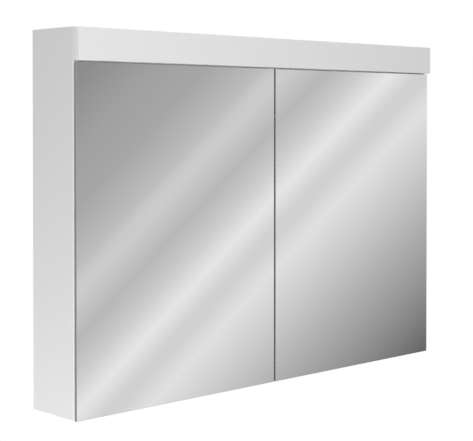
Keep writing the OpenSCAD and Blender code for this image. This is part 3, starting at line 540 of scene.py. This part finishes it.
class Drawing:
    """A mesh in the making, with ways to add turned, recessed and boxed forms."""

    def __init__(self):
        self.bm = bmesh.new()

    def points(self, place, along, spots):
        """Vertices at spots given across and along an axis that starts at place."""
        turn = Vector(along).to_track_quat("Z", "Y").to_matrix()
        return [self.bm.verts.new((Vector(place) + turn @ Vector(s)) * MM) for s in spots]

    def ring(self, place, along, radius, up):
        """Vertices round the axis, or one on it where the radius is 0."""
        spots = circle(radius, TURN_STEPS) if radius else [(0, 0)]
        return self.points(place, along, [(x, y, up) for x, y in spots])

    def join(self, low, high):
        """Faces between two rings, either of which may be one point."""
        for k in range(max(len(low), len(high))):
            low_pair = low[k % len(low)], low[(k + 1) % len(low)]
            high_pair = high[(k + 1) % len(high)], high[k % len(high)]
            self.bm.faces.new(dict.fromkeys(low_pair + high_pair))

    def turned(self, place, along, profile, closed=False):
        """A turned solid, of which the last ring comes back. A closed profile is a tube's wall."""
        rings = [self.ring(place, along, radius, up) for radius, up in profile]
        for low, high in zip(rings, rings[1:]):
            self.join(low, high)
        if closed:
            self.join(rings[-1], rings[0])
        return rings[-1]

    def loop_edges(self, loop):
        """The edges between a loop's vertices."""
        return [self.bm.edges.get(pair) for pair in zip(loop, loop[1:] + loop[:1])]

    def screw(self, place, along, radius, height, deep=0.7, slot=0.8):
        """A screw head with a cross recess."""
        soft = SCREW_SOFT * radius
        profile = [(0, 0), (radius, 0), (radius, height - soft), (radius - soft, height)]
        rim = self.turned(place, along, profile)
        w = slot / 2
        r = radius * CROSS_REACH
        cross = [
            (r, -w), (r, w), (w, w),
            (w, r), (-w, r), (-w, w),
            (-r, w), (-r, -w), (-w, -w),
            (-w, -r), (w, -r), (w, -w),
        ]
        mouth = self.points(place, along, [(x, y, height) for x, y in cross])
        tapered = [(x * CROSS_TAPER, y * CROSS_TAPER, height - deep) for x, y in cross]
        bottom = self.points(place, along, tapered)
        self.join(bottom, mouth)
        self.bm.faces.new(bottom)
        edges = self.loop_edges(rim) + self.loop_edges(mouth)
        bmesh.ops.triangle_fill(self.bm, edges=edges, use_beauty=True)

    def block(self, low, high, soft):
        """A box with rounded edges."""
        corners = bmesh.ops.create_cube(self.bm, size=1)["verts"]
        for v in corners:
            v.co = Vector([(low[k] if v.co[k] < 0 else high[k]) * MM for k in range(3)])
        edges = list(dict.fromkeys(e for v in corners for e in v.link_edges))
        bmesh.ops.bevel(
            self.bm, geom=edges, offset=soft * MM, segments=2, affect="EDGES", clamp_overlap=True)

    def piece(self, name, body, made):
        """Closes the drawing as a piece that rides on a body."""
        bmesh.ops.recalc_face_normals(self.bm, faces=self.bm.faces)
        mesh = bpy.data.meshes.new(name)
        self.bm.to_mesh(mesh)
        self.bm.free()
        mesh.shade_smooth()
        mesh.set_sharp_from_angle(angle=math.radians(SHARP_ABOVE))
        mesh.materials.append(made)
        holder = placed(name, mesh)
        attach(holder, body)


def hinge_point(way, inward, back, z):
    """A place on the left door's hinges, or on the right door's where way is -1."""
    return (way * (inward - SIDE_FACE), BODY_FRONT + back, z)


def rivets(drawing, way, pivots, face, head):
    """Rivet heads at both pivots on the upper and lower faces of a door's hinges.

    The CAD pins fill the first pivot's hole in the upper face and the second one's in the lower face.
    A shank fills each of the other two.
    """
    for z in HINGE_ZS:
        for up in (1, -1):
            for pivot in pivots:
                drawing.turned(hinge_point(way, *pivot, z + up * face), (0, 0, up), dome(*head))
            pinless = pivots[1] if up > 0 else pivots[0]
            drawing.turned(hinge_point(way, *pinless, z + up * face), (0, 0, -up), SHANK)


def hinge_details():
    """Rivets of the arms' cheeks and the housings' lugs, and the two adjusting screws of each arm."""
    for side, way in (("left", 1), ("right", -1)):
        arm_rivets = Drawing()
        rivets(arm_rivets, way, ARM_PIVOTS, CHEEK_FACE, ARM_RIVET)
        arm_rivets.piece("hinge_%s_arm_rivets" % side, "cabinet", NICKEL)
        door_rivets = Drawing()
        rivets(door_rivets, way, DOOR_PIVOTS, LUG_FACE, DOOR_RIVET)
        door_rivets.piece("hinge_%s_housing_rivets" % side, "door_" + side, NICKEL)
        adjusters = Drawing()
        for z in HINGE_ZS:
            for back, radius, height in ADJUSTERS:
                adjusters.screw(hinge_point(way, ARM_TOP, back, z), (way, 0, 0), radius, height)
        adjusters.piece("hinge_%s_adjusters" % side, "cabinet", NICKEL_DARK)


def light_details():
    """A domed phosphor window on each light chip."""
    low, high = box_mm("light_chips")
    windows = Drawing()
    for k in range(CHIP_COUNT):
        x = (k + 0.5 - CHIP_COUNT / 2) * CHIP_PITCH
        windows.turned((x, (low[1] + high[1]) / 2, low[2]), (0, 0, -1), dome(*CHIP_WINDOW))
    windows.piece("light_chip_windows", "cabinet", PHOSPHOR)


def driver_details():
    """Two terminal covers with their screws on the light's driver, and ribs between them."""
    low, high = box_mm("light_driver")
    left = low[0] + DRIVER_EAR
    right = high[0] - DRIVER_EAR
    front = low[1] + DRIVER_RIM
    back = high[1] - DRIVER_RIM
    foot = high[2] - DRIVER_SINK
    cover_top = high[2] + DRIVER_COVER_T
    covers = Drawing()
    screws = Drawing()
    left_span = (left + DRIVER_RIM, left + DRIVER_COVER)
    right_span = (right - DRIVER_COVER, right - DRIVER_RIM)
    for start, end in (left_span, right_span):
        covers.block((start, front, foot), (end, back, cover_top), DRIVER_COVER_SOFT)
        screws.screw(((start + end) / 2, (front + back) / 2, cover_top), (0, 0, 1), **DRIVER_SCREW)
    first = left + DRIVER_COVER + DRIVER_RIB_MARGIN
    last = right - DRIVER_COVER - DRIVER_RIB_MARGIN
    for k in range(DRIVER_RIBS):
        x = first + k * (last - first) / (DRIVER_RIBS - 1)
        rib_low = (x - DRIVER_RIB_HALF, front + DRIVER_RIB_END, foot)
        rib_high = (x + DRIVER_RIB_HALF, back - DRIVER_RIB_END, high[2] + DRIVER_RIB_H)
        covers.block(rib_low, rib_high, DRIVER_RIB_SOFT)
    covers.piece("light_driver_covers", "cabinet", WARM_PLASTIC)
    screws.piece("light_driver_cover_screws", "cabinet", ZINC)


def socket_details():
    """Guide ribs, the two contact sleeves and the centre screw inside the socket's well."""
    x, y, mouth = SOCKET
    ground = mouth + SOCKET_DEPTH
    ribs = Drawing()
    sleeves = Drawing()
    screw = Drawing()
    for way in (-1, 1):
        wall = x + way * SOCKET_RADIUS
        left, right = sorted((wall - way * SOCKET_RIB_OUT, wall + way * SOCKET_RIB_IN))
        for aside in (-1, 1):
            middle = y + aside * SOCKET_RIB_ASIDE
            rib_low = (left, middle - SOCKET_RIB_HALF, mouth + SOCKET_RIB_START)
            rib_high = (right, middle + SOCKET_RIB_HALF, ground + SOCKET_SINK)
            ribs.block(rib_low, rib_high, SOCKET_RIB_SOFT)
        contact = (x + way * CONTACT_PITCH / 2, y, ground + CONTACT_LIFT)
        sleeves.turned(contact, (0, 0, 1), CONTACT_SLEEVE, closed=True)
    screw.screw((x, y, ground), (0, 0, -1), **SOCKET_SCREW)
    ribs.piece("socket_guide_ribs", "cabinet", WHITE_PLASTIC)
    sleeves.piece("socket_contact_sleeves", "cabinet", BRASS)
    screw.piece("socket_centre_screw", "cabinet", NICKEL)


def gland_details():
    """Grip ridges round the gland's flange and the rubber ring in its bore."""
    low, high = box_mm("cable_gland")
    x = (low[0] + high[0]) / 2
    z = (low[2] + high[2]) / 2
    back = high[1]
    ridges = Drawing()
    for across, up in circle(GLAND_RADIUS, GLAND_RIDGES):
        ridges.turned((x + across, back, z + up), (0, -1, 0), GLAND_RIDGE)
    ridges.piece("cable_gland_ridges", "cabinet", GREY_PLASTIC)
    seal = Drawing()
    seal.turned((x, back, z), (0, -1, 0), GLAND_SEAL, closed=True)
    seal.piece("cable_gland_seal", "cabinet", DARK_RUBBER)


# Stage, light and camera
def studio_world():
    """White for the camera and through glass, banded for mirrors, and a plain pale light on the rest."""
    world = bpy.data.worlds.new("studio")
    scene.world = world
    world.use_nodes = True
    t = Tree(world.node_tree)
    direction = t.add("ShaderNodeTexCoord").outputs["Generated"]
    lean = t.vector("DOT_PRODUCT", direction, band_axis())["Value"]
    ramp = t.add("ShaderNodeValToRGB", Fac=t.shape(lean, -1, 1))
    ramp.color_ramp.interpolation = "LINEAR"
    stops = ramp.color_ramp.elements
    while len(stops) < len(BAND_STOPS):
        stops.new(0.5)
    for stop, (where, bright) in zip(stops, BAND_STOPS):
        stop.position = (where + 1) / 2
        stop.color = rgb(bright)
    rays = t.add("ShaderNodeLightPath").outputs
    base = t.mix(rays["Is Glossy Ray"], rgb(AMBIENT), ramp.outputs["Color"])
    background = t.add("ShaderNodeBackground", Color=t.mix(t.seen(rays), base, WHITE), Strength=1.0)
    t.add("ShaderNodeOutputWorld", Surface=background.outputs["Background"])


def floor():
    """A pale round floor: white for the camera apart from the object's shadow, and clear from below."""
    made, t = material("floor")
    diffuse = t.add("ShaderNodeBsdfDiffuse", Color=rgb(FLOOR_GREY)).outputs[0]
    soft = t.add("ShaderNodeBsdfDiffuse", Color=rgb(SHADOW_GREY)).outputs[0]
    glow = t.add("ShaderNodeEmission", Color=WHITE, Strength=SHADOW_GLOW).outputs[0]
    white = t.add("ShaderNodeEmission", Color=WHITE, Strength=1.0).outputs[0]
    clear = t.add("ShaderNodeBsdfTransparent", Color=WHITE).outputs[0]
    shadowed = t.fill(t.add("ShaderNodeAddShader"), soft, glow)[0]
    far = t.shape(t.vector("LENGTH", t.place())["Value"], SHADOW_RADIUS * SHADOW_FADE, SHADOW_RADIUS)
    rays = t.add("ShaderNodeLightPath").outputs
    above = t.mix_shaders(t.seen(rays), diffuse, t.mix_shaders(far, shadowed, white))
    under = t.add("ShaderNodeNewGeometry").outputs["Backfacing"]
    surface = t.mix_shaders(t.math("MULTIPLY", under, rays["Is Camera Ray"]), above, clear)
    t.add("ShaderNodeOutputMaterial", Surface=surface)
    mesh = bpy.data.meshes.new("floor")
    rim = [(x, y, 0) for x, y in circle(FLOOR_RADIUS, FLOOR_STEPS)]
    mesh.from_pydata(rim, [], [list(range(FLOOR_STEPS))])
    mesh.materials.append(made)
    plate = placed("floor", mesh)
    plate.location = (0, (cad_box[0][1] + cad_box[1][1]) / 2, cad_box[0][2] - FLOOR_DROP)
    plate.visible_glossy = False


def lamp(name, place, target, size, power):
    """A soft square lamp that mirrors don't show."""
    light = bpy.data.lights.new(name, "AREA")
    light.shape = "SQUARE"
    light.size = size
    light.energy = power
    holder = placed(name, light)
    holder.location = place
    holder.rotation_euler = (Vector(target) - Vector(place)).to_track_quat("-Z", "Y").to_euler()
    holder.visible_glossy = False


def camera():
    """The camera at the photograph's place, with its axis at the photograph's row."""
    data = bpy.data.cameras.new("camera")
    data.sensor_width = SENSOR_MM
    data.lens = SENSOR_MM * FOCAL_PIXELS / FRAME_W
    data.shift_y = -(FRAME_H / 2 - AXIS_ROW) / FRAME_W
    data.clip_start = CLIP_START
    data.clip_end = CLIP_END
    holder = placed("camera", data)
    holder.location = CAMERA_PLACE
    holder.rotation_euler = camera_turn()
    scene.camera = holder


scene.view_settings.view_transform = "Standard"
dress_nodes()
hinge_details()
light_details()
driver_details()
socket_details()
gland_details()
studio_world()
floor()
for row in LAMPS:
    lamp(*row)
camera()
